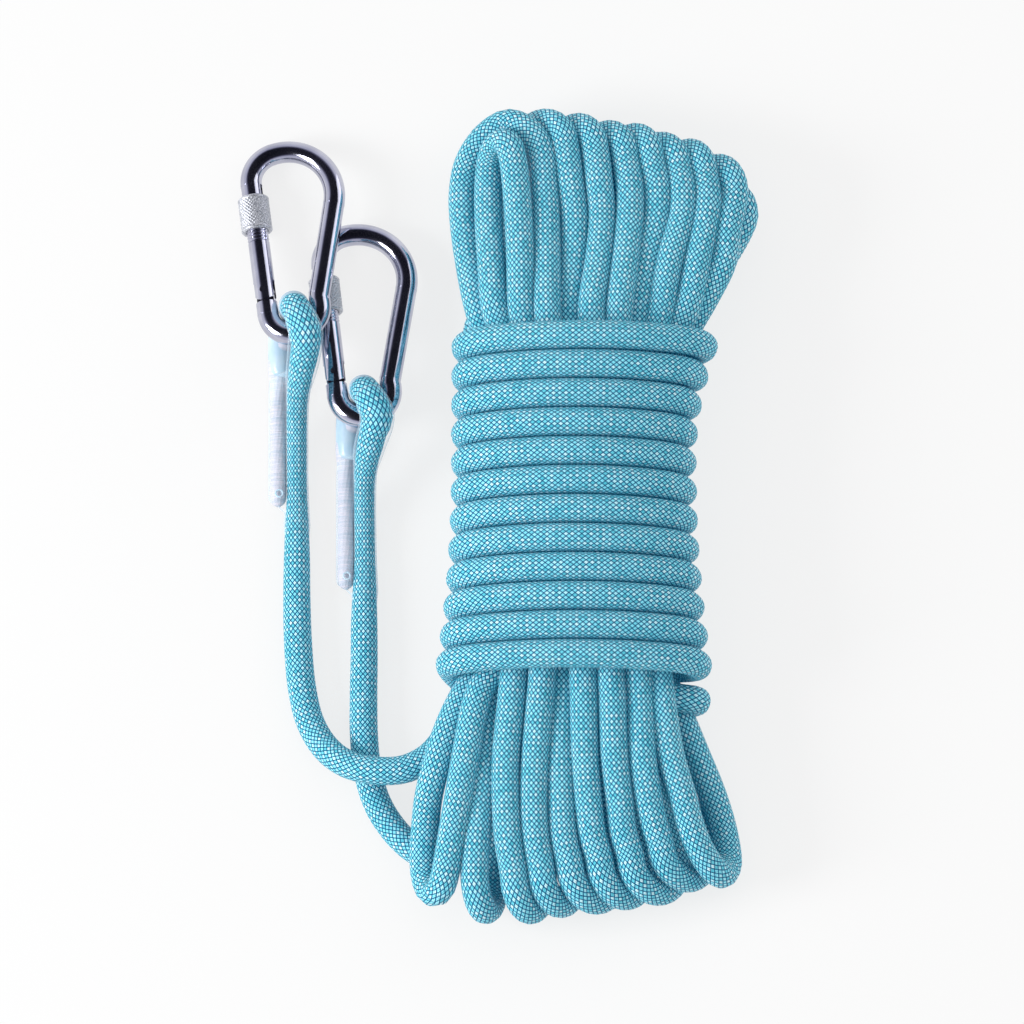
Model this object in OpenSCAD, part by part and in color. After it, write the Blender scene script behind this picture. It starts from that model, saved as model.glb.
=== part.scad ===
// Hanked climbing rope with a steel screw-lock hook sewn into each end.
// It lies on z = 0 with the hank along Y and the hooks to the left of it.

/* [Rope] */
// Diameter of the rope
rope_d = 10.5; // [9:0.1:11]
// Diameter of the rope where the two legs of an eye are sewn together
sewn_d = 8.6; // [7.6:0.1:9]

/* [Hank] */
// Loops in the hank, as they show at each end
loops = 9; // [6:1:9]
// Turns wrapped round the waist of the hank
wraps = 12; // [6:1:12]
// Free space between two turns
wrap_gap = 0.4; // [0.2:0.1:1]
// Width of the bundle inside the narrowest turn
waist_w = 69.8; // [64:0.2:76]
// Thickness of the bundle inside the turns
waist_h = 35; // [32:0.5:40]
// Extra width of the bundle inside the first turn
top_flare = 7.6; // [0:0.2:10]
// Extra width of the bundle inside the last turn
bottom_flare = 11; // [0:0.2:14]
// Radius of the fold at the end of a loop
fold_r = 13; // [11:0.5:14]
// Sideways lean of each fold
fold_lean = 12; // [0:1:20]
// Distance from the first turn to the end of the longest top loop
top_reach = 91.4; // [70:0.2:100]
// Distance from the last turn to the end of the longest bottom loop
bottom_reach = 94; // [70:0.2:100]
// Width over the centres of the top folds
top_fan_w = 103.6; // [98:0.2:112]
// Width over the centres of the bottom folds
bottom_fan_w = 111; // [100:0.5:116]

/* [Hook] */
// Overall length of a hook
hook_len = 80; // [72:1:90]
// Diameter of the hook's steel rod
rod_d = 8; // [7:0.1:8.2]
// Centre-line radius of the basket that holds the rope
basket_r = 10; // [9.8:0.1:12]
// Centre-line radius of the tight corner over the gate
corner_r = 10.5; // [10:0.5:13]
// Centre-line radius of the wide corner over the spine
bow_r = 19; // [17:0.5:21]
// Centre-line radius of the small bend between basket and spine
shoulder_r = 8; // [6:0.5:10]
// Distance from the basket's centre to the spine's line
spine_offset = 8.7; // [8.6:0.1:9.4]
// Outward lean of the spine
spine_lean = 8; // [6:0.5:10]
// Outward lean of the gate
gate_lean = 8; // [6:0.5:9]

/* [Gate] */
// Length of the fixed nose above the gate
nose_len = 4.8; // [4.8:0.2:7]
// Gap between the gate's end and the nose
nose_gap = 0.6; // [0.5:0.1:0.9]
// Distance from the start of the gate line to the hinge
hinge_at = 8.9; // [8.4:0.1:10]
// Diameter of the hinge rivet
rivet_d = 2.5; // [2:0.1:3]
// Diameter of the catch pin in the nose
catch_d = 2; // [1.6:0.1:2.2]
// Thickness of the hinge tang
tang_t = 3; // [2.4:0.1:3.2]
// Length of the gate's thread
thread_len = 19; // [18.6:0.2:21]
// Pitch of the gate's thread
thread_pitch = 1.25; // [1:0.05:1.5]
// Depth of the gate's thread
thread_depth = 0.4; // [0.3:0.05:0.5]
// Diameter of the spring's bore in the gate
spring_bore_d = 4.4; // [4:0.1:4.6]
// Diameter of the spring's wire
spring_wire = 0.6; // [0.4:0.05:0.7]
// Turns of the spring
spring_turns = 6; // [4:1:8]

/* [Screw sleeve] */
// Diameter of the knurled sleeve
sleeve_d = 11.6; // [10.8:0.1:11.8]
// Length of the knurled sleeve
sleeve_len = 13.5; // [12:0.1:13.8]
// Depth of the wide mouth that passes over the nose
mouth_depth = 4.6; // [4:0.1:6]

/* [Splice] */
// Diameter of the stripped tail that is sewn beside the rope
strip_d = 6.4; // [5.6:0.1:6.6]
// Rows of stitching round the stripped tail
stitch_rows = 16; // [8:1:20]
// Diameter of the sewing thread
thread_d = 0.6; // [0.4:0.05:0.7]
// Wall of the clear shrink sleeve
film_t = 0.6; // [0.4:0.05:0.8]

/* [Fit] */
// Free space round the rod in the rope's eye
eye_gap = 0.5; // [0.4:0.05:0.6]
// Running clearance of the sleeve on the gate's thread, on the radius
run_gap = 0.05; // [0.02:0.01:0.08]
// Clearance between parts that pass each other
pass_gap = 0.35; // [0.3:0.05:0.4]

/* [Hidden] */

$fn = 48;
A = 0;
B = 1;
rope_r = rope_d / 2;
sewn_r = sewn_d / 2;
rod_r = rod_d / 2;
rope_blue = [0.31, 0.72, 0.85];
chrome = [0.72, 0.73, 0.76];
satin = [0.82, 0.83, 0.84];
pale_film = [0.80, 0.90, 0.96, 0.55];

// Joints in a chain of arcs
joint_trim = 0.1;
collar_len = 1;
collar_rise = 0.04;

// Waist of the hank
wrap_pitch = rope_d + wrap_gap;
wraps_mid_y = 1.4;
wraps_mid_x = 28;
wraps_top_shift = 4;
narrow_wrap = 4;
wrap_end_r = 15;
end_steps = 6;
flank_steps = 10;
seat_gap = 0.2;
wrap_half_h = (waist_h + rope_d) / 2;
hank_z = wrap_half_h + rope_r + collar_rise;
first_wrap_y = wraps_mid_y + (wraps - 1) * wrap_pitch / 2;
last_wrap_y = wraps_mid_y - (wraps - 1) * wrap_pitch / 2;

// Loops beyond the waist
fan_face = rope_r + seat_gap;
leg_gap = 0.8;
leg_root = 5;
top_leg_span = 81;
bottom_leg_span = 71.4;
top_leg_x = 33.1;
bottom_leg_x = 27.2;
top_tip_x = 38.8;
bottom_tip_x = 28.5;
top_tip_fall = 19;
bottom_tip_fall = 13;
tip_z = fold_r * cos(fold_lean) + rope_r + pass_gap;

// Pose of each hook on the ground: basket centre, turn in its own plane, slope and sideways tilt
hook_x = [-75.4, -49.4];
hook_y = [78.6, 47.5];
hook_spin = [1.1, -0.6];
hook_slope = [7.7, 8];
hook_tilt = [13, 6];
// Where the rope sits round the basket, and how far its legs dip
eye_turn = [16, 19];
eye_dip = [12, 8];
eye_lift = [2.8, 0.4];
eye_r = rod_r + rope_r + eye_gap;
front_leg = 3;
back_leg = 2;
leg_lead = 4;
rod_z = [for (s = [A, B]) rope_r + eye_r + eye_lift[s]];

// Centre-line of the hook's rod, in the hook's own plane
gate_foot = basket_r * [-cos(gate_lean), -sin(gate_lean)];
gate_dir = [-sin(gate_lean), cos(gate_lean)];
gate_in = [cos(gate_lean), sin(gate_lean)];
corner_y = hook_len - basket_r - rod_d - corner_r;
corner_s = (corner_y - gate_foot.y - corner_r * gate_in.y) / gate_dir.y;
corner_c = gate_foot + gate_dir * corner_s + gate_in * corner_r;
spine_dir = [sin(spine_lean), cos(spine_lean)];
spine_out = [cos(spine_lean), -sin(spine_lean)];
shoulder_up = acos((spine_offset + shoulder_r) / (basket_r + shoulder_r)) - spine_lean;
shoulder_c = (basket_r + shoulder_r) * [cos(shoulder_up), sin(shoulder_up)];
spine_foot = shoulder_c - spine_out * shoulder_r;
bow_line = spine_out * (spine_offset - bow_r);
corner_along = (corner_c - bow_line) * spine_dir;
corner_across = (corner_c - bow_line) * spine_out;
bow_c = bow_line + spine_dir * (corner_along - sqrt(pow(bow_r - corner_r, 2) - pow(corner_across, 2)));
spine_head = bow_c + spine_out * bow_r;
bow_meets = atan2(corner_c.y - bow_c.y, corner_c.x - bow_c.x);

// Stations along the gate line, from its foot
rod_end = hinge_at - rod_r - pass_gap - 0.2;
nose_at = corner_s - nose_len;
gate_end = nose_at - nose_gap;
tang_head_r = 3.3;
tang_w = 6.4;
gate_heel_r = rod_r + 0.2;
slot_w = tang_t + 2 * pass_gap;
slot_roof = hinge_at + tang_head_r + 0.6;
spring_bore_end = slot_roof + 14;
plunger_foot = hinge_at + tang_head_r + pass_gap;
plunger_len = 5.5;
tongue_w = 5.6;
tongue_t = tang_t - 0.4;
catch_clear = 0.4;
catch_at = nose_at + 0.6 + catch_d / 2;
catch_half = rod_r - 0.6;
notch_end = catch_at + catch_d / 2 + catch_clear;
tongue_end = notch_end + 0.8;
nose_slot_end = tongue_end + 0.4;
rivet_half = rod_r - 0.1;

// Routes of the rope's two free tails on the ground, from eye to hank
tail_points = [
    [[-71, 54, 21], [-72, 44, 14.5], [-73.4, 35, 9.5], [-74, 26, 6.6], [-74, 16, 5.6], [-74, 6, 5.6],
     [-74, -3, 5.6], [-74, -12, 5.6], [-74.2, -29, 5.6], [-73.8, -46, 5.6], [-72.4, -62, 5.6],
     [-69.4, -75, 6], [-64, -85, 8.6], [-56.6, -92, 13.2], [-47, -95.6, 17], [-37, -96, 18.2],
     [-28, -94.4, 18.4], [-20, -91, 18.4]],
    [[-45.2, 23.6, 18.4], [-46.4, 14, 12.4], [-47.7, 4, 7.6], [-48.4, -5, 5.8], [-48.6, -15, 5.6],
     [-48.8, -26, 5.6], [-49, -34, 5.6], [-49.2, -51, 5.6], [-49.6, -66, 5.6], [-49.4, -81, 5.6],
     [-48, -94, 5.6], [-44.4, -106, 5.6], [-39, -115, 6], [-32.6, -122, 7], [-26, -127, 8.6]]];
tail_rings_sewn = [[4, 9], [3, 8]];
// Routes of the stripped ends that are sewn beside the rope, and how they thin at first, as shares of rope_r
strip_points = [
    [[-74.4, 63.6, 6.2], [-77.8, 58, 5.4], [-81, 52, 4.9], [-82.3, 45, 4.9], [-82.3, 34, 4.9],
     [-82.3, 20, 4.9], [-82.3, 6, 4.9]],
    [[-48, 31.8, 5.4], [-51.8, 26.6, 5.2], [-55.4, 21, 4.9], [-57.1, 14, 4.9], [-57.1, 4, 4.9],
     [-57.1, -10, 4.9], [-57.1, -24, 4.9]]];
strip_radii = [0.95, 0.85, 0.75];
film_from = 3;
film_to = [9, 8];
stitch_first = [44, 14];
stitch_last = [8, -22];
tube_sides = 10;
spring_sides = 6;
spring_steps = 10;

// Vectors and turns about the axes
function unit(v) = v / norm(v);
function turn_x(v, a) = [v.x, v.y * cos(a) - v.z * sin(a), v.y * sin(a) + v.z * cos(a)];
function turn_y(v, a) = [v.x * cos(a) + v.z * sin(a), v.y, -v.x * sin(a) + v.z * cos(a)];
function turn_z(v, a) = [v.x * cos(a) - v.y * sin(a), v.x * sin(a) + v.y * cos(a), v.z];

// From the hook's own plane, and from an eye, to the ground
function hook_turned(s, v) = turn_y(turn_x(turn_z(v, hook_spin[s]), -hook_slope[s]), -hook_tilt[s]);
function seat_on_rod(s) = basket_r * [sin(eye_turn[s]), -cos(eye_turn[s]), 0];
function hook_pos(s) = [hook_x[s], hook_y[s], rod_z[s] - hook_turned(s, seat_on_rod(s)).z];
function eye_pos(s) = hook_pos(s) + hook_turned(s, seat_on_rod(s));
function eye_point(s, v) = eye_pos(s) + turn_z(turn_x(v, eye_dip[s]), eye_turn[s]);

function tail_route(s) = concat([eye_point(s, [0, -front_leg, eye_r]),
    eye_point(s, [0, -front_leg - leg_lead, eye_r])], tail_points[s]);
function strip_route(s) = concat([eye_point(s, [0, -back_leg, -eye_r])], strip_points[s]);
function tail_radius(s, i) = i >= tail_rings_sewn[s][0] && i < tail_rings_sewn[s][1] ? sewn_r :
    i == tail_rings_sewn[s][0] - 1 || i == tail_rings_sewn[s][1] ? (sewn_r + rope_r) / 2 : rope_r;
function strip_radius(i) = i < len(strip_radii) ? rope_r * strip_radii[i] : strip_d / 2;

// A tube along points, with one radius for each point and flat ends
function route_dir(p, i) = unit(p[min(i + 1, len(p) - 1)] - p[max(i - 1, 0)]);
function ring(p, i, r) =
    let (t = route_dir(p, i), side = unit(cross(t, [0, 0, 1])), up = cross(side, t))
    [for (k = [0:tube_sides - 1])
        let (a = k * 360 / tube_sides)
        p[i] + r * (cos(a) * side - sin(a) * up)];
function tube_faces(rings, sides) = concat(
    [[for (k = [0:sides - 1]) k]],
    [for (i = [0:rings - 2], k = [0:sides - 1], half = [0, 1])
        let (a = i * sides + k, b = i * sides + (k + 1) % sides)
        half == 0 ? [a, a + sides, b] : [b, a + sides, b + sides]],
    [[for (k = [sides - 1:-1:0]) (rings - 1) * sides + k]]);
module tube(p, radii, from, to) {
    rings = [for (i = [from:to]) each ring(p, i, radii[i])];
    polyhedron(rings, tube_faces(to - from + 1, tube_sides));
}

// Rounded oval of four tangent arcs, with half-width w, half-height h and end radius r
function flank_r(w, h, r) = (pow(w - r, 2) + h * h - r * r) / (2 * (h - r));
function flank_half(w, h, r) = atan2(w - r, flank_r(w, h, r) - h);
function arc_points(centre, r, from, sweep, steps) =
    [for (k = [0:steps - 1])
        let (a = from + sweep * k / steps)
        centre + r * [cos(a), sin(a)]];
function oval_points(w, h, r) =
    let (big = flank_r(w, h, r), half = flank_half(w, h, r))
    concat(arc_points([w - r, 0], r, half - 90, 180 - 2 * half, end_steps),
        arc_points([0, h - big], big, 90 - half, 2 * half, flank_steps),
        arc_points([r - w, 0], r, 90 + half, 180 - 2 * half, end_steps),
        arc_points([0, big - h], big, 270 - half, 2 * half, flank_steps));
module bent_rope(radius, from, sweep, r) {
    rotate([0, 0, from]) rotate_extrude(angle = sweep) translate([radius, 0]) circle(r);
}
// An arc in a chain: its ends stop just short, inside collars a hair wider than the rope or rod
module linked_arc(radius, from, sweep, r, both = false) {
    trim = joint_trim / radius * 180 / PI;
    bent_rope(radius, from + trim, sweep - 2 * trim, r);
    collar(radius, from, r);
    if (both) collar(radius, from + sweep, r);
}
module collar(radius, at, r) {
    rotate([0, 0, at]) translate([radius, 0, 0]) rotate([90, 0, 0])
        cylinder(h = collar_len, r = r + collar_rise, center = true);
}
module rope_oval(w, h, r) {
    big = flank_r(w, h, r);
    half = flank_half(w, h, r);
    for (turn = [0, 180]) rotate([0, 0, turn]) {
        translate([0, h - big]) linked_arc(big, 90 - half, 2 * half, rope_r);
        translate([w - r, 0]) linked_arc(r, half - 90, 180 - 2 * half, rope_r);
    }
}

// Turns round the waist
function wrap_share(i) = i < narrow_wrap ? (narrow_wrap - i) / narrow_wrap :
    (i - narrow_wrap) / (wraps - 1 - narrow_wrap);
function wrap_flare(i) = (i < narrow_wrap ? top_flare : bottom_flare) / 2 * pow(wrap_share(i), 2);
function wrap_half_w(i) = waist_w / 2 + rope_r + wrap_flare(i);
function wrap_x(i) = wraps_mid_x + (i < narrow_wrap ? wraps_top_shift * pow(wrap_share(i), 2) : 0);
function wrap_y(i) = first_wrap_y - i * wrap_pitch;
module wraps() {
    color(rope_blue)
    for (i = [0:wraps - 1])
        translate([wrap_x(i), wrap_y(i), hank_z]) rotate([90, 0, 0])
            rope_oval(wrap_half_w(i), wrap_half_h, wrap_end_r);
}
// The bundle inside the turns: an oval outline at each turn, and one past each end
module hank_waist() {
    inset = rope_r + seat_gap;
    stations = concat([0], [for (i = [0:wraps - 1]) i], [wraps - 1]);
    rings = [for (k = [0:wraps + 1])
        let (i = stations[k], past = k == 0 ? fan_face : k == wraps + 1 ? -fan_face : 0)
        each [for (p = oval_points(wrap_half_w(i) - inset, wrap_half_h - inset, wrap_end_r - inset))
            [wrap_x(i) + p.x, wrap_y(i) + past, hank_z + p.y]]];
    color(rope_blue)
    polyhedron(rings, tube_faces(wraps + 2, 2 * (end_steps + flank_steps)));
}

// One loop along local +Y: two legs that thin towards the waist, joined by a fold. They start behind Y = 0
module loop(leg, waist_r) {
    for (side = [-1, 1])
        translate([0, -leg_root, side * fold_r]) rotate([-90, 0, 0])
            cylinder(h = leg + leg_root, r1 = waist_r, r2 = rope_r);
    translate([0, leg, 0]) rotate([90, 0, 90]) bent_rope(fold_r, -90, 180, rope_r);
}
// A fan of loops from the waist's face; dir is 1 for the top and -1 for the bottom
module fan(dir, face_y, leg_x, leg_span, tip_x, tip_span, reach, fall) {
    pitch = leg_span / (loops - 1);
    waist_r = min(rope_r, (pitch - leg_gap) / 2);
    lean_x = dir * fold_r * sin(fold_lean);
    cut = 2 * (fold_r + rope_d);
    for (i = [0:loops - 1]) {
        share = i / (loops - 1) - 0.5;
        from_x = leg_x + share * leg_span - lean_x;
        to_x = tip_x + share * tip_span - lean_x;
        run = reach - fan_face - fold_r - rope_r - fall * pow(share + 0.5, 2);
        leg = norm([to_x - from_x, run, hank_z - tip_z]);
        difference() {
            translate([from_x, face_y, hank_z])
                rotate([0, 0, (dir > 0 ? 0 : 180) - dir * atan2(to_x - from_x, run)])
                    rotate([-asin((hank_z - tip_z) / leg), 0, 0]) rotate([0, fold_lean, 0])
                        loop(leg, waist_r);
            translate([from_x - cut / 2, dir > 0 ? face_y - cut : face_y, hank_z - cut / 2]) cube(cut);
        }
    }
}
module hank_top_loops() {
    color(rope_blue)
    fan(1, first_wrap_y + fan_face, top_leg_x, top_leg_span, top_tip_x, top_fan_w, top_reach, top_tip_fall);
}
module hank_bottom_loops() {
    color(rope_blue)
    fan(-1, last_wrap_y - fan_face, bottom_leg_x, bottom_leg_span, bottom_tip_x, bottom_fan_w, bottom_reach,
        bottom_tip_fall);
}

// Free tails, eyes and sewn ends
module tail(s) {
    route = tail_route(s);
    color(rope_blue)
    tube(route, [for (i = [0:len(route) - 1]) tail_radius(s, i)], 0, len(route) - 1);
}
module eye(s) {
    color(rope_blue)
    translate(eye_pos(s)) rotate([0, 0, eye_turn[s]]) rotate([eye_dip[s], 0, 0]) {
        rotate([90, 0, 90]) bent_rope(eye_r, -90, 180, rope_r);
        translate([0, 0, eye_r]) rotate([90, 0, 0]) cylinder(h = front_leg, r = rope_r);
        translate([0, 0, -eye_r]) rotate([90, 0, 0]) cylinder(h = back_leg, r = rope_r);
    }
}
module stripped_tail(s) {
    route = strip_route(s);
    color("whitesmoke")
    tube(route, [for (i = [0:len(route) - 1]) strip_radius(i)], 0, len(route) - 1);
}
module stitching(s) {
    row_r = (strip_d + thread_d) / 2 + 0.05;
    row_pitch = (stitch_last[s] - stitch_first[s]) / (stitch_rows - 1);
    last = strip_points[s][len(strip_points[s]) - 1];
    color("white")
    for (i = [0:stitch_rows - 1])
        translate([last.x, stitch_first[s] + i * row_pitch, last.z]) rotate([90, 0, 0])
            rotate_extrude() translate([row_r, 0]) circle(thread_d / 2, $fn = 16);
}
module shrink_sleeve(s) {
    rope = tail_route(s);
    strip = strip_route(s);
    last = len(strip) - 1;
    over_strip = (strip_d / 2 + thread_d + 0.15) / cos(180 / tube_sides);
    over_rope = [for (i = [0:len(rope) - 1]) tail_radius(s, i) + 0.12];
    color(pale_film)
    difference() {
        union() {
            tube(rope, [for (r = over_rope) r + film_t], film_from, film_to[s]);
            tube(strip, [for (i = [0:last]) over_strip + film_t], 4, last);
        }
        long_tube(rope, over_rope, film_from, film_to[s]);
        long_tube(strip, [for (i = [0:last]) over_strip], 4, last);
    }
}
// The same tube, with both ends pushed out so that it cuts through
module long_tube(p, radii, from, to) {
    past = 0.5;
    stretched = [for (i = [0:len(p) - 1])
        i == from ? p[i] - past * route_dir(p, i) : i == to ? p[i] + past * route_dir(p, i) : p[i]];
    tube(stretched, radii, from, to);
}

// Frames of a hook and of its gate line: +Y from hinge to nose, +X inwards
module at_hook(s) {
    translate(hook_pos(s)) rotate([0, -hook_tilt[s], 0]) rotate([-hook_slope[s], 0, hook_spin[s]]) children();
}
module at_gate(s) {
    at_hook(s) translate([gate_foot.x, gate_foot.y, 0]) rotate([0, 0, gate_lean]) children();
}
module along_gate(r, from, to) {
    translate([0, from, 0]) rotate([-90, 0, 0]) cylinder(h = to - from, r = r);
}
module bent_rod(centre, radius, from, sweep, both = false) {
    translate([centre.x, centre.y, 0]) linked_arc(radius, from, sweep, rod_r, both);
}
module hook_body(s) {
    color(chrome) {
        at_hook(s) {
            bent_rod([0, 0], basket_r, 180 + gate_lean, 180 - gate_lean + shoulder_up, both = true);
            bent_rod(shoulder_c, shoulder_r, 180 - spine_lean, spine_lean + shoulder_up);
            translate([spine_foot.x, spine_foot.y, 0]) rotate([0, 0, -spine_lean])
                along_gate(rod_r, joint_trim, norm(spine_head - spine_foot) - joint_trim);
            bent_rod(bow_c, bow_r, -spine_lean, bow_meets + spine_lean);
            bent_rod(corner_c, corner_r, bow_meets, 180 + gate_lean - bow_meets, both = true);
        }
        at_gate(s) {
            along_gate(rod_r, joint_trim, rod_end);
            tang();
            nose();
        }
    }
}
module tang() {
    difference() {
        union() {
            translate([-tang_w / 2, rod_end, -tang_t / 2]) cube([tang_w, hinge_at - rod_end, tang_t]);
            translate([0, hinge_at, -tang_t / 2]) cylinder(h = tang_t, r = tang_head_r);
        }
        translate([0, hinge_at, -tang_t]) cylinder(h = 2 * tang_t, d = rivet_d);
    }
}
// Fixed nose with a slot for the gate's tongue, crossed by the catch pin
module nose() {
    slot_t = tongue_t + 2 * pass_gap;
    difference() {
        along_gate(rod_r, nose_at, corner_s - joint_trim);
        translate([-rod_d, nose_at - 1, -slot_t / 2]) cube([2 * rod_d, nose_slot_end - nose_at + 1, slot_t]);
        translate([0, catch_at, -catch_half]) cylinder(h = 2 * catch_half, d = catch_d);
    }
}
// Tongue on the gate's end, with a notch that takes the catch pin from outside
module tongue() {
    foot = gate_end - 1;
    notch_half = catch_d / 2 + catch_clear;
    difference() {
        translate([-tongue_w / 2, foot, -tongue_t / 2]) cube([tongue_w, tongue_end - foot, tongue_t]);
        translate([notch_half - tongue_w, catch_at - notch_half, -tongue_t])
            cube([tongue_w, 2 * notch_half, 2 * tongue_t]);
    }
}
module gate(s) {
    thread_foot = gate_end - thread_len;
    color(chrome)
    at_gate(s)
    difference() {
        union() {
            intersection() {
                along_gate(rod_r, hinge_at - gate_heel_r, thread_foot);
                union() {
                    translate([0, hinge_at, -rod_r]) cylinder(h = rod_d, r = gate_heel_r);
                    translate([-rod_r, hinge_at, -rod_r]) cube([rod_d, thread_foot - hinge_at, rod_d]);
                }
            }
            translate([0, thread_foot, 0]) rotate([-90, 0, 0]) gate_thread();
            tongue();
        }
        translate([-rod_d, 0, -slot_w / 2]) cube([2 * rod_d, slot_roof, slot_w]);
        translate([0, hinge_at, -rod_d]) cylinder(h = 2 * rod_d, r = rivet_d / 2 + run_gap);
        along_gate(spring_bore_d / 2, slot_roof - 1, spring_bore_end);
    }
}
// Thread as rings of one profile turned about Z
module gate_thread() {
    root = rod_r - thread_depth;
    turns = floor((thread_len - 1) / thread_pitch);
    start = thread_len - turns * thread_pitch;
    rotate_extrude() polygon(concat([[0, 0], [rod_r, 0], [rod_r, start - thread_pitch / 2]],
        [for (i = [0:turns - 1]) each [[root, start + i * thread_pitch],
            [rod_r, start + (i + 0.4) * thread_pitch], [rod_r, start + (i + 0.6) * thread_pitch]]],
        [[root, thread_len], [0, thread_len]]));
}
module hinge_rivet(s) {
    color(satin)
    at_gate(s) translate([0, hinge_at, -rivet_half]) cylinder(h = 2 * rivet_half, d = rivet_d);
}
module catch_pin(s) {
    color(satin)
    at_gate(s) translate([0, catch_at, -catch_half]) cylinder(h = 2 * catch_half, d = catch_d);
}
module plunger(s) {
    stem_r = spring_bore_d / 2 - 0.1;
    color(satin)
    at_gate(s) along_gate(stem_r, plunger_foot, plunger_foot + plunger_len);
}
module gate_spring(s) {
    wire_r = spring_wire / 2;
    coil_r = spring_bore_d / 2 - wire_r - 0.1;
    foot = plunger_foot + plunger_len + wire_r;
    rise = spring_bore_end - wire_r - foot;
    steps = spring_turns * spring_steps;
    rings = [for (i = [0:steps])
        let (a = i * 360 / spring_steps, out = [cos(a), 0, sin(a)], along = foot + rise * i / steps)
        each [for (k = [0:spring_sides - 1])
            let (b = k * 360 / spring_sides)
            coil_r * out + [0, along, 0] + wire_r * (cos(b) * out + sin(b) * [0, 1, 0])]];
    color(satin)
    at_gate(s) polyhedron(rings, tube_faces(steps + 1, spring_sides));
}
module screw_sleeve(s) {
    chamfer = 0.5;
    color(satin)
    at_gate(s) translate([0, gate_end - sleeve_len, 0]) rotate([-90, 0, 0])
    difference() {
        rotate_extrude() polygon([[0, 0], [sleeve_d / 2 - chamfer, 0], [sleeve_d / 2, chamfer],
            [sleeve_d / 2, sleeve_len - chamfer], [sleeve_d / 2 - chamfer, sleeve_len], [0, sleeve_len]]);
        translate([0, 0, -1]) cylinder(h = sleeve_len + 2, r = rod_r + run_gap);
        translate([0, 0, sleeve_len - mouth_depth]) cylinder(h = mouth_depth + 1, r = rod_r + pass_gap);
    }
}

wraps();
hank_waist();
hank_top_loops();
hank_bottom_loops();
tail(A);  // tail_a
tail(B);  // tail_b
eye(A);  // eye_a
eye(B);  // eye_b
stripped_tail(A);  // stripped_tail_a
stripped_tail(B);  // stripped_tail_b
stitching(A);  // stitching_a
stitching(B);  // stitching_b
shrink_sleeve(A);  // shrink_sleeve_a
shrink_sleeve(B);  // shrink_sleeve_b
hook_body(A);  // hook_body_a
gate(A);  // gate_a
hinge_rivet(A);  // hinge_rivet_a
catch_pin(A);  // catch_pin_a
gate_spring(A);  // gate_spring_a
plunger(A);  // plunger_a
screw_sleeve(A);  // screw_sleeve_a
hook_body(B);  // hook_body_b
gate(B);  // gate_b
hinge_rivet(B);  // hinge_rivet_b
catch_pin(B);  // catch_pin_b
gate_spring(B);  // gate_spring_b
plunger(B);  // plunger_b
screw_sleeve(B);  // screw_sleeve_b
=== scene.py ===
import bpy
import numpy as np
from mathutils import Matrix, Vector


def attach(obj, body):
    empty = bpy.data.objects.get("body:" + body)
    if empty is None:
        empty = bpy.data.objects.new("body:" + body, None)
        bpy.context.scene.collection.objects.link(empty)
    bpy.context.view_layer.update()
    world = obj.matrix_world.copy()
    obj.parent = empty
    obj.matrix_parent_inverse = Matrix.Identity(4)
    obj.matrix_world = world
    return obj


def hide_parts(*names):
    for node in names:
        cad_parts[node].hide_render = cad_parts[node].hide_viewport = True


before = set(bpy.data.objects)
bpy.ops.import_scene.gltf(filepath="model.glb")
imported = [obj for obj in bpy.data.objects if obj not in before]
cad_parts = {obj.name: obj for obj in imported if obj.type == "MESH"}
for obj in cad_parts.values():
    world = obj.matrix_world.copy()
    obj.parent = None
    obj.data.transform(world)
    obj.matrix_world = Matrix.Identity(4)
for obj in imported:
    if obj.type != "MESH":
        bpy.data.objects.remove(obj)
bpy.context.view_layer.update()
mm = 0.001
print("frame loaded")


def linear(code, alpha=1.0):  # sRGB hex to linear: c / 12.92 when dark, else ((c + 0.055) / 1.055) ^ 2.4
    c = np.array([int(code[i:i + 2], 16) for i in (1, 3, 5)]) / 255
    c = np.where(c <= 0.04045, c / 12.92, ((c + 0.055) / 1.055) ** 2.4)
    return (*c.tolist(), alpha)


def addNode(tree, kind, settings=None, inputs=None, stops=()):
    # one node, its settings, numbers or links on its inputs, and the stops of its colour ramp
    node = tree.nodes.new(kind)
    for name, value in (settings or {}).items():
        setattr(node, name, value)
    for name, value in (inputs or {}).items():
        if isinstance(value, bpy.types.NodeSocket):
            tree.links.new(value, node.inputs[name])
        else:
            node.inputs[name].default_value = value
    for i, (place, colour) in enumerate(stops):
        elements = node.color_ramp.elements
        element = elements[i] if i < len(elements) else elements.new(place)
        element.position, element.color = place, linear(colour)
    return node


def newMaterial(name):  # an empty material with its output
    material = bpy.data.materials.new(name)
    material.use_nodes = True
    tree = material.node_tree
    tree.nodes.clear()
    return material, tree, addNode(tree, "ShaderNodeOutputMaterial")


# Camera, 78 degrees above the floor
cameraView = {"elevation": 78.0, "distance": 8.0, "lens": 760.0, "aim": (5.2, 5.2, 0.0)}
lensData = bpy.data.cameras.new("lens")
lensData.lens, lensData.sensor_width = cameraView["lens"], 36.0
camera = bpy.data.objects.new("camera", lensData)
bpy.context.scene.collection.objects.link(camera)
tilt = np.radians(cameraView["elevation"])
aim = Vector(cameraView["aim"]) * mm
camera.location = aim + cameraView["distance"] * Vector((0, -np.cos(tilt), np.sin(tilt)))
camera.rotation_euler = (aim - camera.location).to_track_quat("-Z", "Y").to_euler()
lensData.clip_start, lensData.clip_end = 0.05, 20
bpy.context.scene.camera = camera
print("camera set")


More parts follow.
